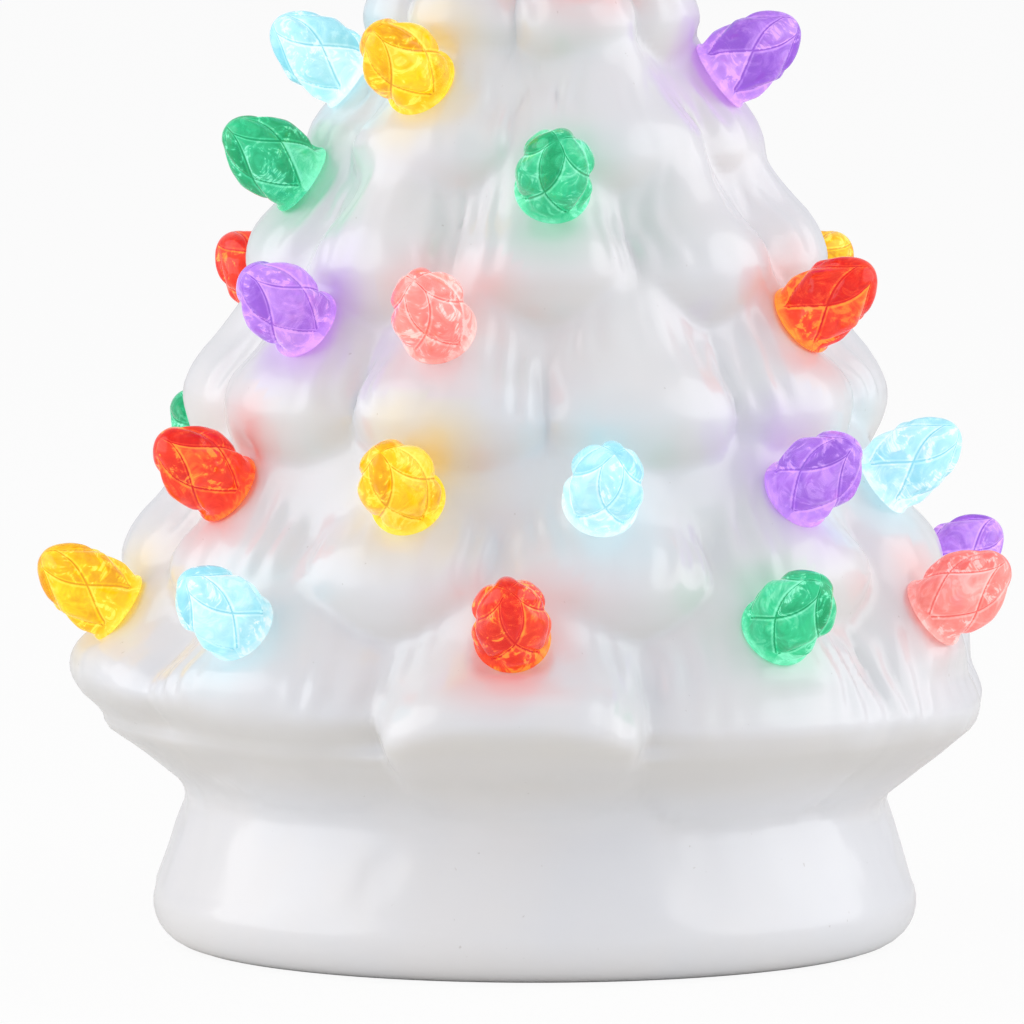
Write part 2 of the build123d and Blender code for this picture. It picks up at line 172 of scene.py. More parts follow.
# Colours of the clear plastic: deep, middle, glint
STAR_COLOURS = ((0.66, 0.30, 0.002), (0.90, 0.53, 0.006), (1.0, 0.72, 0.02))
BULB_COLOURS = {
    "red": ((0.70, 0.012, 0.006), (0.95, 0.075, 0.025), (1.0, 0.46, 0.05)),
    "green": ((0.006, 0.34, 0.14), (0.05, 0.65, 0.33), (0.30, 0.98, 0.68)),
    "yellow": ((0.76, 0.34, 0.003), (1.0, 0.70, 0.01), (1.0, 0.93, 0.12)),
    "blue": ((0.30, 0.69, 0.80), (0.55, 0.88, 0.94), (0.92, 1.0, 1.0)),
    "purple": ((0.32, 0.12, 0.65), (0.60, 0.32, 0.89), (0.90, 0.50, 0.98)),
    "pink": ((0.85, 0.17, 0.15), (0.95, 0.36, 0.32), (1.0, 0.74, 0.70)),
}


class Sheet:
    """A node tree being drawn: places nodes and joins them."""

    def __init__(self, tree):
        self.tree = tree

    def feed(self, socket, value):
        if isinstance(value, bpy.types.NodeSocket):
            self.tree.links.new(value, socket)
        else:
            socket.default_value = value

    def node(self, kind, inputs=None, **settings):
        made = self.tree.nodes.new(kind)
        for name, value in settings.items():
            setattr(made, name, value)
        for name, value in (inputs or {}).items():
            self.feed(made.inputs[name], value)
        return made

    def math(self, operation, *values):
        made = self.node("ShaderNodeMath", operation=operation)
        for socket, value in zip(made.inputs, values):
            self.feed(socket, value)
        return made.outputs[0]

    def vector(self, operation, *values):
        made = self.node("ShaderNodeVectorMath", operation=operation)
        for socket, value in zip(made.inputs, values):
            self.feed(socket, value)
        plain = operation in ("DOT_PRODUCT", "LENGTH", "DISTANCE")
        return made.outputs["Value" if plain else "Vector"]

    def scaled(self, vector, factor):
        made = self.node("ShaderNodeVectorMath", operation="SCALE")
        self.feed(made.inputs[0], vector)
        self.feed(made.inputs["Scale"], factor)
        return made.outputs["Vector"]

    def spread(self, value, low, high, to_low, to_high, smooth=False):
        """Maps a value from one range to another and holds it there."""
        made = self.node("ShaderNodeMapRange")
        made.interpolation_type = "SMOOTHSTEP" if smooth else "LINEAR"
        for socket, given in zip(made.inputs, (value, low, high, to_low, to_high)):
            self.feed(socket, given)
        return made.outputs[0]

    def combine(self, x, y, z):
        made = self.node("ShaderNodeCombineXYZ")
        for socket, value in zip(made.inputs, (x, y, z)):
            self.feed(socket, value)
        return made.outputs[0]

    def mixed(self, share, first, second):
        """Colour between two colours."""
        made = self.node("ShaderNodeMix", data_type="RGBA")
        for place, value in ((0, share), (6, first), (7, second)):
            self.feed(made.inputs[place], value)
        return made.outputs[2]

    def curve(self, value, points, low, high):
        """Smooth curve through points, given over a range of the value."""
        heights = [y for x, y in points]
        bottom, top = min(heights), max(heights)
        made = self.node("ShaderNodeFloatCurve")
        line = made.mapping.curves[0]
        while len(line.points) < len(points):
            line.points.new(0.5, 0.5)
        for handle, (x, y) in zip(line.points, points):
            handle.location = ((x - low) / (high - low), (y - bottom) / (top - bottom))
            handle.handle_type = "AUTO_CLAMPED"
        made.mapping.update()
        self.feed(made.inputs["Value"], self.spread(value, low, high, 0.0, 1.0))
        return self.math("MULTIPLY_ADD", made.outputs[0], top - bottom, bottom)


def new_tree(name, inputs, outputs):
    """Empty geometry tree with named sockets."""
    tree = bpy.data.node_groups.new(name, "GeometryNodeTree")
    for side, sockets in (("INPUT", inputs), ("OUTPUT", outputs)):
        for label, kind, value in sockets:
            socket = tree.interface.new_socket(name=label, in_out=side, socket_type=kind)
            if value is not None:
                socket.default_value = value
    return tree


FLOAT, WHOLE = "NodeSocketFloat", "NodeSocketInt"
SHAPE, STUFF, THING = "NodeSocketGeometry", "NodeSocketMaterial", "NodeSocketObject"


def grown(piece, tree, values):
    """Runs a geometry tree on a piece and keeps its result as a plain mesh."""
    modifier = piece.modifiers.new(tree.name, "NODES")
    modifier.node_group = tree
    for item in tree.interface.items_tree:
        if item.item_type == "SOCKET" and item.in_out == "INPUT" and item.name in values:
            modifier[item.identifier] = values[item.name]
    bpy.context.view_layer.update()
    seen = piece.evaluated_get(bpy.context.evaluated_depsgraph_get())
    mesh = bpy.data.meshes.new_from_object(seen)
    piece.modifiers.remove(modifier)
    old = piece.data
    piece.data = mesh
    mesh.name = piece.name
    bpy.data.meshes.remove(old)
    return piece


def new_piece(name, vertices, faces=()):
    """Object with a plain mesh, at the origin."""
    mesh = bpy.data.meshes.new(name)
    mesh.from_pydata(vertices, [], faces)
    mesh.update()
    piece = bpy.data.objects.new(name, mesh)
    scene.collection.objects.link(piece)
    return piece


def around(radius, angle, height):
    """Point in metres at a radius, an angle from the front and a height."""
    turn = math.radians(angle)
    return Vector((radius * math.sin(turn), -radius * math.cos(turn), height)) * MM


# Ceramic shell


def bough_tier():
    """Radius of one tier of boughs at an angle and a height."""
    tree = new_tree("Bough tier", [
        ("Angle", FLOAT, None), ("Height", FLOAT, None), ("Boughs", FLOAT, 10.0),
        ("First bough", FLOAT, 0.0), ("Crown radius", FLOAT, 0.06),
        ("Crown height", FLOAT, 0.03), ("Bough height", FLOAT, 0.009), ("Skirt", FLOAT, 0.0),
        ("Needle width", FLOAT, 0.0042), ("Needle depth", FLOAT, 0.046),
        ("Unevenness", FLOAT, 0.16), ("Seed", FLOAT, 0.0),
    ], [("Radius", FLOAT, None)])
    s = Sheet(tree)
    given = s.node("NodeGroupInput").outputs
    bottom, top = BOUGH_ROWS[0][1], BOUGH_ROWS[-1][1]
    turn = s.math("SUBTRACT", given["Angle"], given["First bough"])
    place = s.math("MULTIPLY", s.math("DIVIDE", turn, math.tau), given["Boughs"])
    number = s.math("ROUND", place)
    aside = s.math("MULTIPLY", s.math("SUBTRACT", place, number), 2.0)
    bough = s.math("FLOORED_MODULO", number, given["Boughs"])
    label = s.math("MULTIPLY_ADD", bough, 3.7, given["Seed"])
    chance = s.node("ShaderNodeTexWhiteNoise", {"W": label}, noise_dimensions="1D")
    sizes = s.node("FunctionNodeSeparateColor", {"Color": chance.outputs["Color"]}).outputs
    rise = s.math("DIVIDE", s.math("SUBTRACT", given["Height"], given["Crown height"]),
                  given["Bough height"])
    # On the skirt the boughs run into one ridge, and only the first hangs free
    skirt = s.math("MULTIPLY", given["Skirt"], s.spread(rise, SKIRT_END, 0.1, 0.0, 1.0, True))
    hung = s.math("GREATER_THAN", bough, 0.5)
    crown = s.math("MULTIPLY", s.math("MULTIPLY", skirt, hung), SKIRT_CROWN)
    crown = s.math("MULTIPLY_ADD", sizes[0], given["Unevenness"], crown)
    gap = s.math("ABSOLUTE", s.math("SUBTRACT", s.math("ABSOLUTE", place), 0.5))
    filled = s.math("MULTIPLY", skirt, s.spread(gap, 0.0, 0.3, 0.0, 1.0, True))
    trough = s.math("MULTIPLY_ADD", filled, SKIRT_VALLEY - NOTCH_DEPTH, NOTCH_DEPTH)
    # Sharp notches between the noses turn into soft valleys up the slope
    far = s.math("ABSOLUTE", aside)
    fall = s.math("POWER", s.math("MULTIPLY", far, BOUGH_BREADTH), 2.0)
    fall = s.math("SUBTRACT", 1.0, s.math("SQRT", s.math("SUBTRACT", 1.0, fall)))
    least = math.sqrt(1.0 - BOUGH_BREADTH ** 2)
    notch = s.math("SMOOTH_MIN", s.math("DIVIDE", fall, 1.0 - least), 1.0, NOTCH_ROUND)
    # A smooth minimum falls short by a sixth of its reach
    notch = s.math("MULTIPLY", notch, 1.0 / (1.0 - NOTCH_ROUND / 6.0))
    hollow = s.spread(far, 0.1, 1.0, 0.0, 1.0, True)
    soft = s.spread(rise, 0.4, 1.3, 0.0, 1.0, True)
    beside = s.math("MULTIPLY_ADD", s.math("SUBTRACT", hollow, notch), soft, notch)
    valley = s.math("MULTIPLY_ADD", s.math("SUBTRACT", trough, crown), beside, crown)
    # The free bough is a tongue with drooping sides, and the ridge beside it leans to the right
    tongue = s.math("MULTIPLY", given["Skirt"], s.math("SUBTRACT", 1.0, hung))
    tongue = s.math("MULTIPLY", tongue, s.spread(far, 1.0, 0.8, 0.0, 1.0, True))
    ridge = s.math("SUBTRACT", given["Skirt"], tongue)
    low = s.spread(rise, 1.2, 0.1, 0.0, 1.0, True)
    nose = s.math("MULTIPLY", ridge, low)
    right = s.math("MULTIPLY", s.math("SINE", given["Angle"]), nose)
    rise = s.math("MULTIPLY_ADD", right, SKIRT_LEAN, rise)
    sag = s.math("MULTIPLY_ADD", s.math("POWER", far, 2.0), TONGUE_DROOP, TONGUE_SAG)
    rise = s.math("MULTIPLY_ADD", s.math("MULTIPLY", sag, low), tongue, rise)
    steep = s.math("MULTIPLY", tongue, TONGUE_STEEP - 1.0)
    rise = s.math("MULTIPLY_ADD", s.math("MINIMUM", rise, 0.0), steep, rise)
    shallow = s.math("MULTIPLY", valley, s.spread(rise, 0.8, 1.9, 1.0, SLOPE_VALLEY, True))
    size = s.math("MULTIPLY_ADD", shallow, least - 1.0, 1.0)
    level = s.math("DIVIDE", rise, size)
    outset = s.curve(level, [(up, out) for out, up in BOUGH_ROWS], bottom, top)
    skirt_foot = SKIRT_ROWS[0][1]
    skirted = s.curve(level, [(up, out) for out, up in SKIRT_ROWS], skirt_foot, top)
    outset = s.math("MULTIPLY_ADD", s.math("SUBTRACT", skirted, outset), given["Skirt"], outset)
    outset = s.math("MULTIPLY_ADD", s.math("ADD", outset, BOUGH_ROOT), size, -BOUGH_ROOT)
    short = s.math("MULTIPLY", s.math("ADD", right, nose), SKIRT_SHORT / 2)
    outset = s.math("SUBTRACT", outset, short)
    swell = s.math("MULTIPLY", s.math("SUBTRACT", 1.0, s.math("POWER", far, 4.0)),
                   s.spread(level, 1.6, 0.2, 0.0, TONGUE_SWELL, True))
    swell = s.math("MULTIPLY", swell, s.spread(level, -1.5, -0.5, 0.3, 1.0, True))
    outset = s.math("MULTIPLY_ADD", swell, tongue, outset)
    # Needles: soft flutes down the slope, deepest in the valleys
    girth = s.math("DIVIDE", s.math("MULTIPLY", given["Crown radius"], math.tau),
                   s.math("MULTIPLY", given["Boughs"], 2.0))
    across = s.math("DIVIDE", s.math("MULTIPLY", aside, girth), given["Needle width"])
    drift = s.node("ShaderNodeTexNoise", {
        "Vector": s.combine(s.math("MULTIPLY", across, 0.3), s.math("MULTIPLY", level, 0.6), label),
        "Scale": 1.0, "Detail": 1.0}).outputs[0]
    wave = s.math("COSINE", s.math("MULTIPLY", math.tau, s.math("MULTIPLY_ADD", drift, 2.0, across)))
    fewer = s.node("ShaderNodeTexNoise", {
        "Vector": s.combine(s.math("MULTIPLY", across, 0.31), s.math("MULTIPLY", level, 0.7),
                            s.math("ADD", label, 50.0)), "Scale": 1.0, "Detail": 0.0}).outputs[0]
    strength = s.spread(fewer, 0.4, 0.62, 0.15, 1.0, True)
    down = s.math("MULTIPLY", s.spread(level, -0.1, 0.4, 0.0, 1.0, True),
                  s.spread(level, 2.2, 1.3, 0.3, 1.0, True))
    edge = s.spread(far, 0.2, 0.8, 0.16, 1.0, True)
    flutes = s.math("MULTIPLY", s.math("MULTIPLY", wave, given["Needle depth"]),
                    s.math("MULTIPLY", s.math("MULTIPLY", down, edge), strength))
    out = s.math("ADD", outset, flutes)
    # Past its ends a section falls away behind the other tiers
    foot = s.math("MULTIPLY_ADD", given["Skirt"], skirt_foot - bottom, bottom)
    beyond = s.math("ADD", s.math("MAXIMUM", s.math("SUBTRACT", level, top), 0.0),
                    s.math("MAXIMUM", s.math("SUBTRACT", foot, level), 0.0))
    out = s.math("SUBTRACT", out, s.math("MULTIPLY", beyond, SECTION_FALL))
    radius = s.math("MULTIPLY_ADD", out, given["Bough height"], given["Crown radius"])
    s.node("NodeGroupOutput", {"Radius": radius})
    return tree


def nearest_seat(s, seats, name):
    """Position and one named direction or colour of the point nearest to each place."""
    nearest = s.node("GeometryNodeSampleNearest", {"Geometry": seats}, domain="POINT")
    place = s.node("GeometryNodeInputPosition").outputs[0]
    kept = s.node("GeometryNodeInputNamedAttribute", {"Name": name}, data_type="FLOAT_VECTOR")
    samples = []
    for wanted in (place, kept.outputs[0]):
        sample = s.node("GeometryNodeSampleIndex", {"Geometry": seats}, data_type="FLOAT_VECTOR")
        s.feed(sample.inputs["Value"], wanted)
        s.feed(sample.inputs["Index"], nearest.outputs[0])
        samples.append(sample.outputs[0])
    return samples


def shell_tree():
    """Swells a turned blank into tiers of boughs and sinks a seat at each bulb."""
    tree = new_tree("Scalloped shell", [
        ("Geometry", SHAPE, None), ("Seats", THING, None), ("Crease", FLOAT, 0.0028),
        ("Needle depth", FLOAT, 0.046), ("Lumps", FLOAT, 0.0007),
        ("Seat radius", FLOAT, 0.0054), ("Seat edge", FLOAT, 0.0016),
        ("Glow height", FLOAT, 0.0085), ("Glow core", FLOAT, 0.006), ("Glow reach", FLOAT, 0.0165),
        ("Material", STUFF, None),
    ], [("Geometry", SHAPE, None)])
    s = Sheet(tree)
    given = s.node("NodeGroupInput").outputs
    here = s.node("GeometryNodeInputPosition").outputs[0]
    parts = s.node("ShaderNodeSeparateXYZ", {"Vector": here}).outputs
    angle = s.math("ARCTAN2", parts["X"], s.math("MULTIPLY", parts["Y"], -1.0))
    blank = s.vector("LENGTH", s.vector("MULTIPLY", here, (1.0, 1.0, 0.0)))
    tier = bough_tier()
    radius = blank
    for place, (boughs, first, crown, height, size) in enumerate(TIERS):
        made = s.node("GeometryNodeGroup", node_tree=tier)
        for name, value in (
            ("Angle", angle), ("Height", parts["Z"]), ("Boughs", boughs),
            ("First bough", math.radians(first)), ("Crown radius", crown * MM),
            ("Crown height", height * MM), ("Bough height", size * MM),
            ("Skirt", 1.0 if place == 0 else 0.0),
            ("Needle depth", given["Needle depth"]), ("Seed", 41.0 + 13.0 * place),
        ):
            s.feed(made.inputs[name], value)
        crease = given["Crease"]
        if place == 0:
            crease = s.spread(parts["Z"], (height + SKIRT_BLEND_FROM) * MM,
                              (height + SKIRT_BLEND_TO) * MM, SKIRT_BLEND * MM, crease, True)
        radius = s.math("SMOOTH_MAX", radius, made.outputs[0], crease)
    grow = s.math("DIVIDE", radius, blank)
    swollen = s.vector("MULTIPLY", here, s.combine(grow, grow, 1.0))
    shaped = s.node("GeometryNodeInputNamedAttribute", {"Name": "shaped"}, data_type="FLOAT")
    mix = s.node("ShaderNodeMix", {"Factor": shaped.outputs[0]}, data_type="VECTOR")
    s.feed(mix.inputs["A"], here)
    s.feed(mix.inputs["B"], swollen)
    form = s.node("GeometryNodeSetPosition", {"Geometry": given["Geometry"]})
    s.feed(form.inputs["Position"], mix.outputs["Result"])
    # Hand-made unevenness of the casting under the glaze
    lump = s.node("ShaderNodeTexNoise", {"Scale": 75.0, "Detail": 1.5})
    s.feed(lump.inputs["Vector"], s.node("GeometryNodeInputPosition").outputs[0])
    push = s.math("MULTIPLY", s.math("SUBTRACT", lump.outputs[0], 0.5), given["Lumps"])
    push = s.math("MULTIPLY", push, s.math("MULTIPLY", shaped.outputs[0], 2.0))
    soft = s.node("GeometryNodeSetPosition", {"Geometry": form.outputs[0]})
    s.feed(soft.inputs["Offset"], s.scaled(s.node("GeometryNodeInputNormal").outputs[0], push))
    # Seats: the glaze lies flat under each flange
    seats = s.node("GeometryNodeObjectInfo", {"Object": given["Seats"]}).outputs["Geometry"]
    seat, axis = nearest_seat(s, seats, "axis")
    now = s.node("GeometryNodeInputPosition").outputs[0]
    arm = s.vector("SUBTRACT", now, seat)
    along = s.vector("DOT_PRODUCT", arm, axis)
    beside = s.vector("LENGTH", s.vector("SUBTRACT", arm, s.scaled(axis, along)))
    held = s.math("MINIMUM", along, 0.0001)
    reach = s.math("ADD", given["Seat radius"], given["Seat edge"])
    share = s.spread(beside, reach, given["Seat radius"], 0.0, 1.0, True)
    drop = s.math("MULTIPLY", s.math("SUBTRACT", held, along), share)
    sunk = s.node("GeometryNodeSetPosition", {"Geometry": soft.outputs[0]})
    s.feed(sunk.inputs["Offset"], s.scaled(axis, drop))
    # Painted light: the light that the nearest bulb throws on the glaze, kept as a share and a colour
    # to paint into the glaze
    lean = s.node("GeometryNodeInputNamedAttribute", {"Name": "axis"}, data_type="FLOAT_VECTOR")
    bodies = s.node("GeometryNodeSetPosition", {"Geometry": seats})
    s.feed(bodies.inputs["Offset"], s.scaled(lean.outputs[0], given["Glow height"]))
    body, tint = nearest_seat(s, bodies.outputs[0], "tint")
    away = s.vector("LENGTH", s.vector("SUBTRACT", now, body))
    near = s.spread(away, given["Glow reach"], given["Glow core"], 0.0, 1.0, True)
    blot = s.node("ShaderNodeTexNoise", {"Vector": now, "Scale": 95.0, "Detail": 1.0})
    near = s.math("MULTIPLY", near, s.spread(blot.outputs[0], 0.38, 0.62, 0.25, 1.0, True))
    lit = sunk.outputs[0]
    # Which way the glaze faces, kept for the painted shade on the undersides
    facing = s.node("ShaderNodeSeparateXYZ", {
        "Vector": s.node("GeometryNodeInputNormal").outputs[0]}).outputs["Z"]
    for name, value, kind in (("glow", near, "FLOAT"), ("tint", tint, "FLOAT_VECTOR"),
                              ("facing", facing, "FLOAT")):
        store = s.node("GeometryNodeStoreNamedAttribute", {"Geometry": lit, "Name": name},
                       data_type=kind, domain="POINT")
        s.feed(store.inputs["Value"], value)
        lit = store.outputs[0]
    finish = s.node("GeometryNodeSetMaterial", {"Geometry": lit})
    s.feed(finish.inputs["Material"], given["Material"])
    smooth = s.node("GeometryNodeSetShadeSmooth", {"Geometry": finish.outputs[0]})
    whole = s.node("GeometryNodeRealizeInstances", {"Geometry": smooth.outputs[0]})
    s.node("NodeGroupOutput", {"Geometry": whole.outputs[0]})
    return tree


def arc(middle_r, middle_z, radius, start, end, steps):
    """Points of radius and height on an arc, both ends included."""
    points = []
    for k in range(steps + 1):
        turn = math.radians(start + (end - start) * k / steps)
        points.append((middle_r + radius * math.cos(turn), middle_z + radius * math.sin(turn)))
    return points


def run(first, last, steps):
    """Points on a straight run, the last one left out."""
    return [(first[0] + (last[0] - first[0]) * k / steps,
             first[1] + (last[1] - first[1]) * k / steps) for k in range(steps)]


def blank_outline():
    """Closed outline of the turned blank: radius, height, share that is shaped."""
    lean = math.atan2(NECK_HEIGHT, FOOT_CORNER - NECK_RADIUS)
    back = FOOT_ROUNDING / math.tan(lean / 2)
    foot_edge = FOOT_CORNER - back
    wall_start = 90 - math.degrees(lean)
    rows = [(r, z, 0.0) for r, z in run((OPENING_RADIUS, 0.0), (foot_edge, 0.0), 5)]
    rows += [(r, z, 0.0) for r, z in arc(foot_edge, FOOT_ROUNDING, FOOT_ROUNDING,
                                         -90, wall_start, 9)]
    wall_foot = (rows[-1][0], rows[-1][1])
    # A soft neck between the base and the skirt
    slope_in = (NECK_RADIUS - wall_foot[0]) / (NECK_HEIGHT - wall_foot[1])
    flare_slope = (FLARE_RADIUS - NECK_RADIUS) / (FLARE_HEIGHT - FLARE_START)
    taper = (SKIRT_RADIUS - TIP_RADIUS) / (TIP_HEIGHT - SKIRT_HEIGHT)
    z = wall_foot[1]
    while z < TIP_HEIGHT - 0.5:
        z += ROW_STEP
        sunk = wall_foot[0] + slope_in * (z - wall_foot[1])
        flare = NECK_RADIUS + flare_slope * (z - FLARE_START)
        if z > FLARE_HEIGHT:
            flare = max(FLARE_RADIUS - FLARE_FALL * (z - FLARE_HEIGHT), TIP_RADIUS)
        above = z - SKIRT_HEIGHT - BOUGH_HEIGHT
        if above > 0:
            crowns = SKIRT_RADIUS - taper * (z - SKIRT_HEIGHT)
            entry = CORE_ENTRY * max(1.0 - above / CORE_RISE, 0.0)
            core = crowns * (1.0 - CORE_SHARE) - CORE_DEPTH - entry
            flare = max(core, flare, TIP_RADIUS)
        gap = abs(sunk - flare)
        soft = max(NECK_BLEND - gap, 0) ** 2 / (4 * NECK_BLEND)
        if z < FLARE_START + NECK_BLEND:
            flare = max(sunk, flare) + soft
        rows.append((flare, min(z, TIP_HEIGHT), 1.0))
    rows[-1] = (TIP_RADIUS, TIP_HEIGHT, 0.0)
    rows += [((TIP_RADIUS + TIP_HOLE) / 2, TIP_HEIGHT, 0.0), (TIP_HOLE, TIP_HEIGHT, 0.0)]
    rows.append((TIP_HOLE, TIERS[-2][3], 0.0))
    valley = BOUGH_ROOT * (1.0 - math.sqrt(1.0 - BOUGH_BREADTH ** 2))
    for boughs, first, crown, height, size in reversed(TIERS[:-2]):
        rows.append((crown - valley * size - WALL - CREASE_ROOM, height, 0.0))
    rows.append((NECK_RADIUS - WALL, NECK_HEIGHT, 0.0))
    rows.append((FOOT_CORNER - 2 * WALL, WALL, 0.0))
    rows.append((OPENING_RADIUS, WALL, 0.0))
    return rows


def ceramic_shell(glaze, seats):
    """The ceramic: a turned blank grown into boughs."""
    outline = blank_outline()
    vertices, faces, shares = [], [], []
    for radius, height, share in outline:
        for k in range(SHELL_COLUMNS):
            vertices.append(around(radius, 360 * k / SHELL_COLUMNS - 180, height))
            shares.append(share)
    count = len(outline)
    for j in range(count):
        for k in range(SHELL_COLUMNS):
            after = (k + 1) % SHELL_COLUMNS
            here = j * SHELL_COLUMNS
            above = ((j + 1) % count) * SHELL_COLUMNS
            faces.append((here + k, here + after, above + after, above + k))
    shell = new_piece("ceramic_shell", vertices, faces)
    layer = shell.data.attributes.new("shaped", "FLOAT", "POINT")
    layer.data.foreach_set("value", shares)
    grown(shell, shell_tree(), {"Seats": seats, "Material": glaze})
    shell.data.set_sharp_from_angle(angle=math.radians(62))
    return shell


# Bulbs


def bulb_seats():
    """Place, direction and colour of every bulb."""
    found = []
    for row, places in BULB_ROWS.items():
        boughs, first, crown, height, size = TIERS[row - 1]
        for number, (angle, colour) in enumerate(places, start=1):
            tilt = math.radians(BULB_TILT)
            out = around(math.cos(tilt), angle, math.sin(tilt)) / MM
            middle = around(crown - SEAT_INSET * size, angle, height + SEAT_RISE * size)
            node = f"bulb_row{row}_{number:02d}_{colour}"
            found.append((node, colour, middle - out * SEAT_SINK * MM, out))
    return found


def seat_points(name, seats):
    """Loose points with the direction of the bulb on each."""
    points = new_piece(name, [place for _, _, place, _ in seats])
    layer = points.data.attributes.new("axis", "FLOAT_VECTOR", "POINT")
    layer.data.foreach_set("vector", [v for _, _, _, out in seats for v in out])
    # Colour of each bulb, for the painted light it throws on the glaze
    layer = points.data.attributes.new("tint", "FLOAT_VECTOR", "POINT")
    layer.data.foreach_set("vector", [v for _, colour, _, _ in seats for v in BULB_COLOURS[colour][1]])
    return points


def bulb_tree():
    """Moulded bulbs on loose points: two spirals of grooves cross on each one."""
    tree = new_tree("Moulded bulbs", [
        ("Geometry", SHAPE, None), ("Length", FLOAT, BULB_LENGTH * MM),
        ("Radius", FLOAT, BULB_RADIUS * MM), ("Lobes", FLOAT, 4.0), ("Twist", FLOAT, 0.264),
        ("Groove", FLOAT, 0.19), ("Seed", WHOLE, 5), ("Material", STUFF, None),
    ], [("Geometry", SHAPE, None)])
    s = Sheet(tree)
    given = s.node("NodeGroupInput").outputs
    grid = s.node("GeometryNodeMeshGrid", {
        "Size X": 1.0, "Size Y": 1.0, "Vertices X": 81, "Vertices Y": 58})
    flat = s.node("GeometryNodeInputPosition").outputs[0]
    parts = s.node("ShaderNodeSeparateXYZ", {"Vector": flat}).outputs
    turn = s.math("ADD", parts["X"], 0.5)
    step = s.math("ADD", parts["Y"], 0.5)
    outline = [
        (0.0, 0.0, 0.0), (0.05, 0.97, 0.0), (0.08, 1.0, 0.012), (0.105, 1.0, 0.03),
        (0.13, 0.97, 0.048), (0.16, 0.95, 0.06), (0.21, 0.99, 0.12), (0.32, 1.07, 0.26),
        (0.46, 1.07, 0.44), (0.60, 0.97, 0.61), (0.73, 0.79, 0.76), (0.85, 0.55, 0.885),
        (0.93, 0.33, 0.96), (0.97, 0.17, 0.99), (1.0, 0.0, 1.0),
    ]
    reach = s.curve(step, [(x, r) for x, r, _ in outline], 0.0, 1.0)
    along = s.curve(step, [(x, z) for x, _, z in outline], 0.0, 1.0)
    climb = s.spread(along, FLANGE_SHARE, 1.0, 0.0, 1.0)
    spirals, dips = [], []
    for hand in (1.0, -1.0):
        spiral = s.math("MULTIPLY_ADD", climb, s.math("MULTIPLY", given["Twist"], hand), turn)
        spirals.append(s.math("MULTIPLY", spiral, given["Lobes"]))
        aside = s.math("MULTIPLY_ADD", s.math("FRACT", spirals[-1]), 2.0, -1.0)
        dips.append(s.math("POWER", s.math("ABSOLUTE", aside), 2.6))
    dip = s.math("SMOOTH_MAX", dips[0], dips[1], 0.2)
    body = s.math("MULTIPLY", s.spread(along, 0.05, 0.12, 0.0, 1.0, True),
                  s.spread(along, 0.98, 0.84, 0.0, 1.0, True))
    cut = s.math("MULTIPLY", s.math("MULTIPLY", dip, given["Groove"]), body)
    radius = s.math("MULTIPLY", s.math("MULTIPLY", reach, s.math("SUBTRACT", 1.0, cut)),
                    given["Radius"])
    angle = s.math("MULTIPLY", turn, math.tau)
    place = s.combine(s.math("MULTIPLY", radius, s.math("COSINE", angle)),
                      s.math("MULTIPLY", radius, s.math("SINE", angle)),
                      s.math("MULTIPLY", along, given["Length"]))
    kept = s.node("GeometryNodeStoreNamedAttribute", {
        "Geometry": grid.outputs["Mesh"], "Name": "spiral"}, data_type="FLOAT_VECTOR", domain="CORNER")
    s.feed(kept.inputs["Value"], s.combine(spirals[0], spirals[1], along))
    form = s.node("GeometryNodeSetPosition", {"Geometry": kept.outputs[0]})
    s.feed(form.inputs["Position"], place)
    closed = s.node("GeometryNodeMergeByDistance", {
        "Geometry": form.outputs[0], "Distance": 0.00002})
    axis = s.node("GeometryNodeInputNamedAttribute", {"Name": "axis"}, data_type="FLOAT_VECTOR")
    chance = s.node("FunctionNodeRandomValue", {"Seed": given["Seed"]}, data_type="FLOAT")
    chance.inputs[3].default_value = math.tau
    aim = s.node("FunctionNodeAlignRotationToVector", {"Vector": axis.outputs[0]}, axis="Z")
    spin = s.node("FunctionNodeRotateRotation", {"Rotation": aim.outputs[0]},
                  rotation_space="LOCAL")
    s.feed(spin.inputs["Rotate By"], s.node("FunctionNodeAxisAngleToRotation", {
        "Axis": (0.0, 0.0, 1.0), "Angle": chance.outputs[1]}).outputs[0])
    copies = s.node("GeometryNodeInstanceOnPoints", {
        "Points": given["Geometry"], "Instance": closed.outputs[0],
        "Rotation": spin.outputs[0]})
    told = s.node("GeometryNodeStoreNamedAttribute", {
        "Geometry": copies.outputs[0], "Name": "chance"}, data_type="FLOAT", domain="INSTANCE")
    s.feed(told.inputs["Value"], chance.outputs[1])
    finish = s.node("GeometryNodeSetMaterial", {"Geometry": told.outputs[0]})
    s.feed(finish.inputs["Material"], given["Material"])
    whole = s.node("GeometryNodeRealizeInstances", {"Geometry": finish.outputs[0]})
    smooth = s.node("GeometryNodeSetShadeSmooth", {"Geometry": whole.outputs[0]})
    s.node("NodeGroupOutput", {"Geometry": smooth.outputs[0]})
    return tree


# Finishes


def new_finish(name):
    """Material with one principled shader, and a sheet to draw on."""
    material = bpy.data.materials.new(name)
    material.use_nodes = True
    tree = material.node_tree
    tree.nodes.clear()
    s = Sheet(tree)
    shader = s.node("ShaderNodeBsdfPrincipled")
    output = s.node("ShaderNodeOutputMaterial")
    tree.links.new(shader.outputs[0], output.inputs["Surface"])
    return material, s, shader


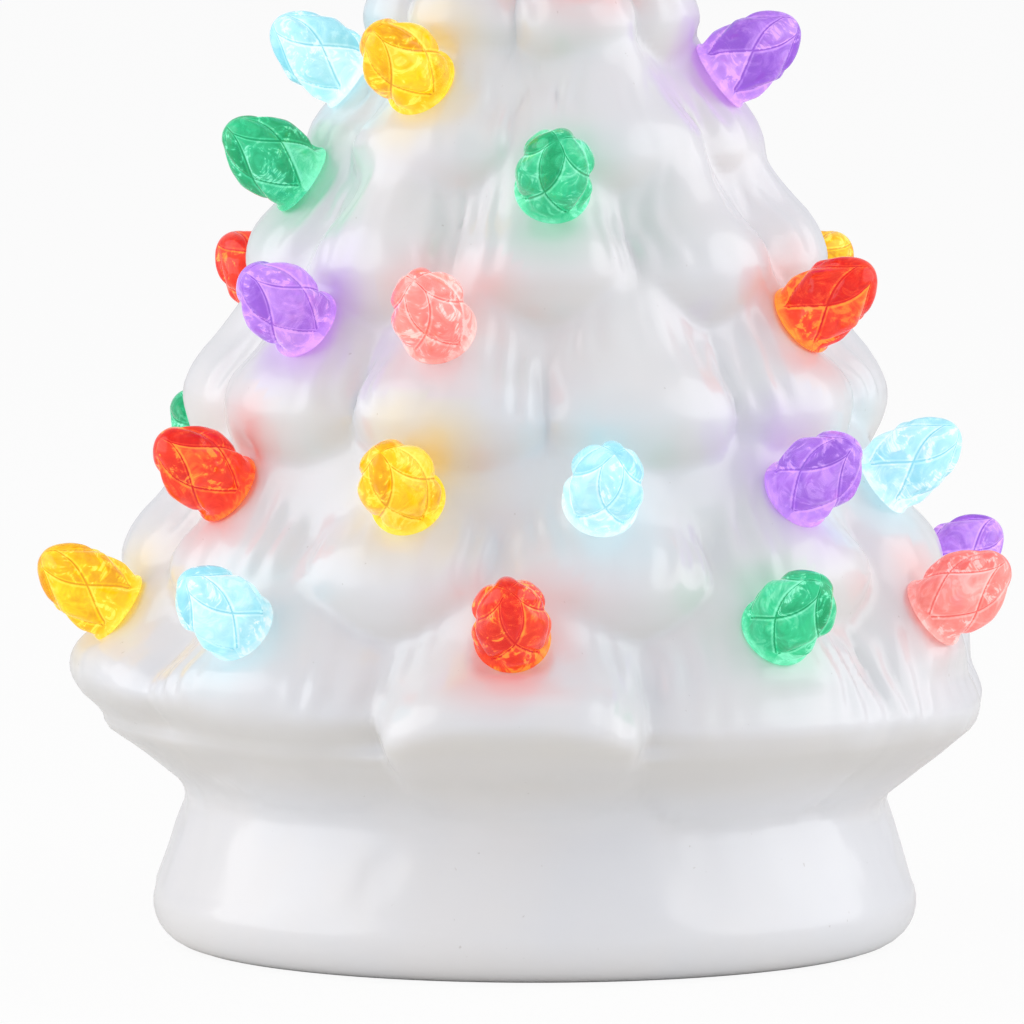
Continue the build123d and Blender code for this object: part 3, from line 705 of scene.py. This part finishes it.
def mottle_group():
    """Slow drift between two colours, with a mask of finer specks."""
    tree = bpy.data.node_groups.new("Mottle", "ShaderNodeTree")
    for name, kind in (("First", "NodeSocketColor"), ("Second", "NodeSocketColor"),
                       ("Drift scale", FLOAT), ("Fleck scale", FLOAT)):
        tree.interface.new_socket(name=name, in_out="INPUT", socket_type=kind)
    for name, kind in (("Colour", "NodeSocketColor"), ("Fleck", FLOAT)):
        tree.interface.new_socket(name=name, in_out="OUTPUT", socket_type=kind)
    s = Sheet(tree)
    given = s.node("NodeGroupInput").outputs
    place = s.node("ShaderNodeTexCoord").outputs["Object"]
    drift = s.node("ShaderNodeTexNoise", {
        "Vector": place, "Scale": given["Drift scale"], "Detail": 3.0, "Roughness": 0.55})
    share = s.spread(drift.outputs[0], 0.35, 0.65, 0.0, 1.0, True)
    colour = s.mixed(share, given["First"], given["Second"])
    fleck = s.node("ShaderNodeTexNoise", {
        "Vector": place, "Scale": given["Fleck scale"], "Detail": 2.0})
    out = s.node("NodeGroupOutput")
    s.feed(out.inputs["Colour"], colour)
    s.feed(out.inputs["Fleck"], fleck.outputs[0])
    return tree


mottle = mottle_group()


def mottled(s, first, second, drift, fleck):
    """Colour and fleck of the mottle group with these settings."""
    made = s.node("ShaderNodeGroup", node_tree=mottle)
    made.inputs["First"].default_value = (*first, 1)
    made.inputs["Second"].default_value = (*second, 1)
    made.inputs["Drift scale"].default_value = drift
    made.inputs["Fleck scale"].default_value = fleck
    return made.outputs["Colour"], made.outputs["Fleck"]


# Pearl glaze: colours, the painted bulb light and the painted shade on the undersides, and how far
# each one shows
GLAZE_WARM = (0.88, 0.87, 0.87)
GLAZE_COOL = (0.85, 0.86, 0.885)
PINHOLE_COLOUR = (0.40, 0.37, 0.33, 1.0)
PINHOLE_SHARE = 0.3
# Painted bulb light: share of the bulb's colour mixed into the glaze, and strength of the glaze's glow
# in it
PAINTED_GLOW_SHARE = 0.42
PAINTED_GLOW_STRENGTH = 0.04
# Painted shade on the undersides of the boughs: its colour and share
UNDERSIDE_SHADE_COLOUR = (0.66, 0.61, 0.51, 1.0)
UNDERSIDE_SHADE_SHARE = 0.38
# Heights in metres between which the painted shade on the undersides sets in, above the neck
UNDERSIDE_SHADE_FROM = 0.021
UNDERSIDE_SHADE_FULL = 0.027


def pearl_glaze():
    """White pearl glaze: warm and cool drifts under a clear coat, with painted bulb light beside the
    bulbs and painted shade on the undersides.
    """
    material, s, shader = new_finish("pearl_glaze")
    colour, fleck = mottled(s, GLAZE_WARM, GLAZE_COOL, 30.0, 900.0)
    colour = s.mixed(s.spread(fleck, 0.755, 0.79, 0.0, PINHOLE_SHARE), colour, PINHOLE_COLOUR)
    # Painted light: beside each bulb the glaze is mixed towards the bulb's colour and glows faintly in
    # it
    glow = s.node("ShaderNodeAttribute", attribute_name="glow").outputs["Fac"]
    tint = s.node("ShaderNodeAttribute", attribute_name="tint").outputs["Color"]
    colour = s.mixed(s.math("MULTIPLY", glow, PAINTED_GLOW_SHARE), colour, tint)
    # Painted shade: the glaze turns darker and warmer on the undersides of the boughs, where they face
    # down
    facing = s.node("ShaderNodeAttribute", attribute_name="facing").outputs["Fac"]
    height = s.node("ShaderNodeSeparateXYZ", {
        "Vector": s.node("ShaderNodeTexCoord").outputs["Object"]}).outputs["Z"]
    under = s.math("MULTIPLY", s.spread(facing, 0.1, -0.75, 0.0, UNDERSIDE_SHADE_SHARE, True),
                   s.spread(height, UNDERSIDE_SHADE_FROM, UNDERSIDE_SHADE_FULL, 0.0, 1.0, True))
    s.feed(shader.inputs["Base Color"], s.mixed(under, colour, UNDERSIDE_SHADE_COLOUR))
    s.feed(shader.inputs["Emission Color"], s.mixed(glow, (0.0, 0.0, 0.0, 1.0), tint))
    shader.inputs["Emission Strength"].default_value = PAINTED_GLOW_STRENGTH
    shader.inputs["Roughness"].default_value = 0.32
    shader.inputs["Coat Weight"].default_value = 0.65
    shader.inputs["Coat Roughness"].default_value = 0.12
    return material


def lit_group():
    """Painted light in moulded plastic: each facet has its own painted tone of refracted light,
    painted glints, and painted bright edges beside its grooves with painted dark lines in them.
    """
    tree = bpy.data.node_groups.new("Lit plastic", "ShaderNodeTree")
    for name, kind in (("Deep", "NodeSocketColor"), ("Middle", "NodeSocketColor"),
                       ("Glint", "NodeSocketColor"), ("Lobes", FLOAT), ("Cloud scale", FLOAT)):
        tree.interface.new_socket(name=name, in_out="INPUT", socket_type=kind)
    tree.interface.new_socket(name="Colour", in_out="OUTPUT", socket_type="NodeSocketColor")
    s = Sheet(tree)
    given = s.node("NodeGroupInput").outputs
    spiral = s.node("ShaderNodeAttribute", attribute_name="spiral").outputs["Vector"]
    chance = s.node("ShaderNodeAttribute", attribute_name="chance").outputs["Fac"]
    parts = s.node("ShaderNodeSeparateXYZ", {"Vector": spiral}).outputs
    along = parts["Z"]
    shares, cells, sides = [], [], []
    for spot in (parts["X"], parts["Y"]):
        shares.append(s.math("FRACT", spot))
        cells.append(s.math("FLOORED_MODULO", s.math("FLOOR", spot), given["Lobes"]))
        sides.append(s.math("ABSOLUTE", s.math("MULTIPLY_ADD", shares[-1], 2.0, -1.0)))
    body = s.spread(along, FLANGE_SHARE, FLANGE_SHARE + 0.03, 0.0, 1.0)
    groove = s.math("MULTIPLY", s.math("MAXIMUM", sides[0], sides[1]), body)
    facet = s.combine(cells[0], cells[1], s.math("MULTIPLY_ADD", chance, 7.0, 0.5))
    luck = s.node("ShaderNodeTexWhiteNoise", {"Vector": facet}, noise_dimensions="3D")
    draws = s.node("ShaderNodeSeparateColor", {"Color": luck.outputs["Color"]}).outputs
    # Painted refracted light: a facet shades from one edge to the other
    tone = s.math("MULTIPLY_ADD", draws[0], 0.5, 0.05)
    shade = s.math("MULTIPLY", s.math("SUBTRACT", shares[0], shares[1]), 0.32)
    tone = s.math("ADD", tone, s.math("MULTIPLY", shade, body))
    cloud = s.node("ShaderNodeTexNoise", {
        "Vector": s.node("ShaderNodeTexCoord").outputs["Object"], "Scale": given["Cloud scale"],
        "Detail": 3.0, "Roughness": 0.6, "Distortion": 2.2}).outputs[0]
    tone = s.math("ADD", tone, s.spread(cloud, 0.35, 0.65, -0.16, 0.16))
    # Painted glints: patches of lamp light inside some facets, broken into fine lines
    painted_glint = s.math("MULTIPLY", s.spread(cloud, 0.52, 0.60, 0.0, 1.0, True),
                   s.spread(draws[1], 0.35, 0.6, 0.1, 1.0))
    line = s.combine(s.math("MULTIPLY", shares[0], 3.0), s.math("MULTIPLY", along, 34.0), draws[2])
    ripple = s.node("ShaderNodeTexNoise", {
        "Vector": line, "Scale": 1.0, "Detail": 2.0, "Distortion": 0.8}).outputs[0]
    painted_glint = s.math("MULTIPLY", painted_glint, s.spread(ripple, 0.44, 0.56, 0.25, 1.0, True))
    tone = s.math("MULTIPLY_ADD", painted_glint, 0.65, tone)
    # Painted light, brightest at the flange where the light comes in
    painted_flange_light = s.curve(along, [(0.0, 0.55), (0.06, 0.4), (0.12, 0.16), (0.3, 0.0), (1.0, 0.0)], 0.0, 1.0)
    tone = s.math("ADD", tone, painted_flange_light)
    # Painted highlights beside the grooves, and painted dark lines in them
    edge = s.math("MULTIPLY", s.spread(groove, 0.84, 0.91, 0.0, 1.0, True),
                  s.spread(groove, 0.965, 0.93, 0.0, 1.0, True))
    tone = s.math("MULTIPLY_ADD", edge, 0.34, tone)
    tone = s.math("SUBTRACT", tone, s.spread(groove, 0.955, 0.985, 0.0, 0.5, True))
    colour = s.mixed(s.spread(tone, 0.0, 0.5, 0.0, 1.0), given["Deep"], given["Middle"])
    colour = s.mixed(s.spread(tone, 0.5, 1.0, 0.0, 1.0), colour, given["Glint"])
    s.node("NodeGroupOutput", {"Colour": colour})
    return tree


lit = lit_group()


def bulb_plastic(name, deep, middle, glint, glow=0.25):
    """Clear coloured plastic, lit from inside."""
    material, s, shader = new_finish(name)
    made = s.node("ShaderNodeGroup", node_tree=lit)
    for socket, colour in (("Deep", deep), ("Middle", middle), ("Glint", glint)):
        made.inputs[socket].default_value = (*colour, 1)
    made.inputs["Lobes"].default_value = 4.0
    made.inputs["Cloud scale"].default_value = 300.0
    s.feed(shader.inputs["Base Color"], made.outputs[0])
    s.feed(shader.inputs["Emission Color"], made.outputs[0])
    shader.inputs["Emission Strength"].default_value = glow
    shader.inputs["Roughness"].default_value = 0.06
    shader.inputs["IOR"].default_value = 1.49
    shader.inputs["Transmission Weight"].default_value = 0.35
    shader.inputs["Specular IOR Level"].default_value = 0.4
    return material


seats = bulb_seats()
all_seats = seat_points("all_seats", seats)
shell = ceramic_shell(pearl_glaze(), all_seats)
bpy.data.objects.remove(all_seats)
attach(shell, "tree")
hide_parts("ceramic_tree")

bulb_maker = bulb_tree()
for colour, tones in BULB_COLOURS.items():
    mine = [seat for seat in seats if seat[1] == colour]
    bulbs = seat_points(f"bulbs_{colour}", mine)
    plastic = bulb_plastic(f"{colour}_plastic", *tones)
    grown(bulbs, bulb_maker, {"Material": plastic, "Seed": len(colour)})
    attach(bulbs, "tree")
    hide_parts(*[node for node, _, _, _ in mine])


def plain_finish(name, first, second, rough, drift=60.0, fleck=1500.0, metallic=0.0, bump=0.1):
    """Plain plastic, rubber or metal with a slight drift of colour and a fine grain."""
    material, s, shader = new_finish(name)
    colour, grain = mottled(s, first, second, drift, fleck)
    s.feed(shader.inputs["Base Color"], colour)
    s.feed(shader.inputs["Roughness"], s.spread(grain, 0.3, 0.7, rough * 0.85, rough * 1.15))
    shader.inputs["Metallic"].default_value = metallic
    relief = s.node("ShaderNodeBump", {"Strength": bump, "Distance": 0.0002, "Height": grain})
    s.feed(shader.inputs["Normal"], relief.outputs[0])
    return material


def dress(names, material):
    """Gives nodes of the part a finish."""
    for name in names:
        node = nodes[name]
        node.data.materials.clear()
        node.data.materials.append(material)


# The star takes the bulbs' painted facet light and painted glints, with a weaker glow
dress(["star_topper"], bulb_plastic("star_plastic", *STAR_COLOURS, glow=0.08))
dress(["light_base", "battery_door"],
      plain_finish("base_plastic", (0.74, 0.74, 0.72), (0.70, 0.70, 0.69), 0.5))
dress(["base_gasket"], plain_finish("gasket_rubber", (0.55, 0.55, 0.55), (0.5, 0.5, 0.5), 0.75))
dress(["switch_body", "switch_knob"],
      plain_finish("switch_plastic", (0.03, 0.03, 0.032), (0.045, 0.045, 0.05), 0.4))
dress(["circuit_board"], plain_finish("board_lacquer", (0.02, 0.16, 0.06), (0.03, 0.20, 0.08), 0.35))
dress(["board_screws", "contact_positive", "contact_negative", "contact_bridge_left",
       "contact_bridge_right"],
      plain_finish("nickel_plate", (0.66, 0.64, 0.60), (0.60, 0.59, 0.57), 0.28, metallic=1.0))
dress(["battery_1", "battery_2", "battery_3"],
      plain_finish("battery_sleeve", (0.05, 0.055, 0.065), (0.07, 0.075, 0.085), 0.3))
dress(["led_1", "led_2", "led_3"],
      plain_finish("lamp_plastic", (0.85, 0.85, 0.80), (0.80, 0.80, 0.77), 0.15))
dress(["wire_positive"], plain_finish("red_insulation", (0.5, 0.02, 0.02), (0.42, 0.02, 0.02), 0.35))
dress(["wire_switch", "wire_return"],
      plain_finish("black_insulation", (0.02, 0.02, 0.02), (0.03, 0.03, 0.03), 0.35))

# Studio: a pale room and floor, soft lamps and the camera

# Light of the room from the front, the back and straight above, and its colour
ROOM_FRONT = 0.80
ROOM_BACK = 0.70
ROOM_TOP = 0.72
ROOM_COLOUR = (0.97, 0.975, 1.03, 1.0)
WHITE = (1.0, 1.0, 1.0, 1.0)

# Floor: radius in metres, and of a hole that ends just inside the foot ring's outer edge
FLOOR_RADIUS = 3.0
FLOOR_HOLE = 0.044
FLOOR_SIDES = 96
FLOOR_COLOUR = (0.90, 0.89, 0.86, 1.0)
FLOOR_WHITENESS = 0.92

# Lamps: place and size in metres, power in watts
LAMPS = {
    "left_lamp": ((-0.95, -0.12, 0.40), 1.3, 5.2),
    "right_lamp": ((0.95, -0.08, 0.38), 1.3, 4.9),
    "top_lamp": ((0.1, -0.35, 1.1), 0.8, 0.5),
}
LAMP_TARGET = Vector((0.0, 0.0, 0.08))

# Camera: aim, distance and width of the view at the aim in metres, tilt in degrees
CAMERA_AIM = Vector((-0.0030, 0.0, 0.0566))
CAMERA_DISTANCE = 1.7
CAMERA_TILT = 5.2
VIEW_WIDTH = 0.1346
SENSOR_WIDTH = 36.0


def looking(place, target):
    """Turn of a lamp or camera that looks from a place to a target."""
    return (target - Vector(place)).to_track_quat("-Z", "Y").to_euler()


def seen_directly(s):
    """One where the camera sees a backdrop, also through clear plastic."""
    path = s.node("ShaderNodeLightPath").outputs
    return s.math("MAXIMUM", path["Is Camera Ray"], path["Is Transmission Ray"])


def pale_room():
    """Soft light from all round, seen as plain white."""
    world = bpy.data.worlds.new("studio")
    scene.world = world
    world.use_nodes = True
    tree = world.node_tree
    tree.nodes.clear()
    s = Sheet(tree)
    seen = seen_directly(s)
    aim = s.node("ShaderNodeSeparateXYZ", {
        "Vector": s.node("ShaderNodeTexCoord").outputs["Generated"]}).outputs
    room = s.spread(aim["Y"], -1.0, 0.3, ROOM_FRONT, ROOM_BACK, True)
    room = s.math("MULTIPLY", room, s.spread(aim["Z"], 0.0, 0.9, 1.0, ROOM_TOP))
    strength = s.math("MULTIPLY_ADD", seen, s.math("SUBTRACT", 1.0, room), room)
    colour = s.mixed(seen, ROOM_COLOUR, WHITE)
    sky = s.node("ShaderNodeBackground", {"Color": colour, "Strength": strength})
    out = s.node("ShaderNodeOutputWorld")
    tree.links.new(sky.outputs[0], out.inputs["Surface"])


def pale_floor():
    """Round floor with a hole hidden under the foot ring, where the door swings down."""
    points = []
    for radius in (FLOOR_HOLE, FLOOR_RADIUS):
        points += [around(radius / MM, 360 * k / FLOOR_SIDES, 0.0) for k in range(FLOOR_SIDES)]
    faces = []
    for k in range(FLOOR_SIDES):
        after = (k + 1) % FLOOR_SIDES
        faces.append((k, FLOOR_SIDES + k, FLOOR_SIDES + after, after))
    floor = new_piece("floor", points, faces)
    material = bpy.data.materials.new("floor_paper")
    material.use_nodes = True
    tree = material.node_tree
    tree.nodes.clear()
    s = Sheet(tree)
    paper = s.node("ShaderNodeBsdfDiffuse", {"Color": FLOOR_COLOUR})
    white = s.node("ShaderNodeEmission", {"Color": WHITE, "Strength": 1.0})
    mix = s.node("ShaderNodeMixShader")
    s.feed(mix.inputs[0], s.math("MULTIPLY", seen_directly(s), FLOOR_WHITENESS))
    s.feed(mix.inputs[1], paper.outputs[0])
    s.feed(mix.inputs[2], white.outputs[0])
    # Clear from below, so that the underside can be looked at
    through = s.node("ShaderNodeMixShader")
    s.feed(through.inputs[0], s.node("ShaderNodeNewGeometry").outputs["Backfacing"])
    s.feed(through.inputs[1], mix.outputs[0])
    s.feed(through.inputs[2], s.node("ShaderNodeBsdfTransparent").outputs[0])
    out = s.node("ShaderNodeOutputMaterial")
    tree.links.new(through.outputs[0], out.inputs["Surface"])
    floor.data.materials.append(material)


def soft_lamps():
    """Two broad lamps at the sides and a weak one above."""
    for name, (place, size, power) in LAMPS.items():
        lamp = bpy.data.lights.new(name, "AREA")
        lamp.shape = "DISK"
        lamp.size = size
        lamp.energy = power
        holder = bpy.data.objects.new(name, lamp)
        holder.location = place
        holder.rotation_euler = looking(place, LAMP_TARGET)
        scene.collection.objects.link(holder)


def front_camera():
    """Camera a little above the tree's middle, looking at its front."""
    lens = bpy.data.cameras.new("camera")
    lens.sensor_width = SENSOR_WIDTH
    lens.lens = SENSOR_WIDTH * CAMERA_DISTANCE / VIEW_WIDTH
    lens.clip_start = 0.05
    camera = bpy.data.objects.new("camera", lens)
    tilt = math.radians(CAMERA_TILT)
    camera.location = CAMERA_AIM + CAMERA_DISTANCE * Vector((0, -math.cos(tilt), math.sin(tilt)))
    camera.rotation_euler = looking(camera.location, CAMERA_AIM)
    scene.collection.objects.link(camera)
    scene.camera = camera


pale_room()
pale_floor()
soft_lamps()
front_camera()
scene.view_settings.view_transform = "Standard"
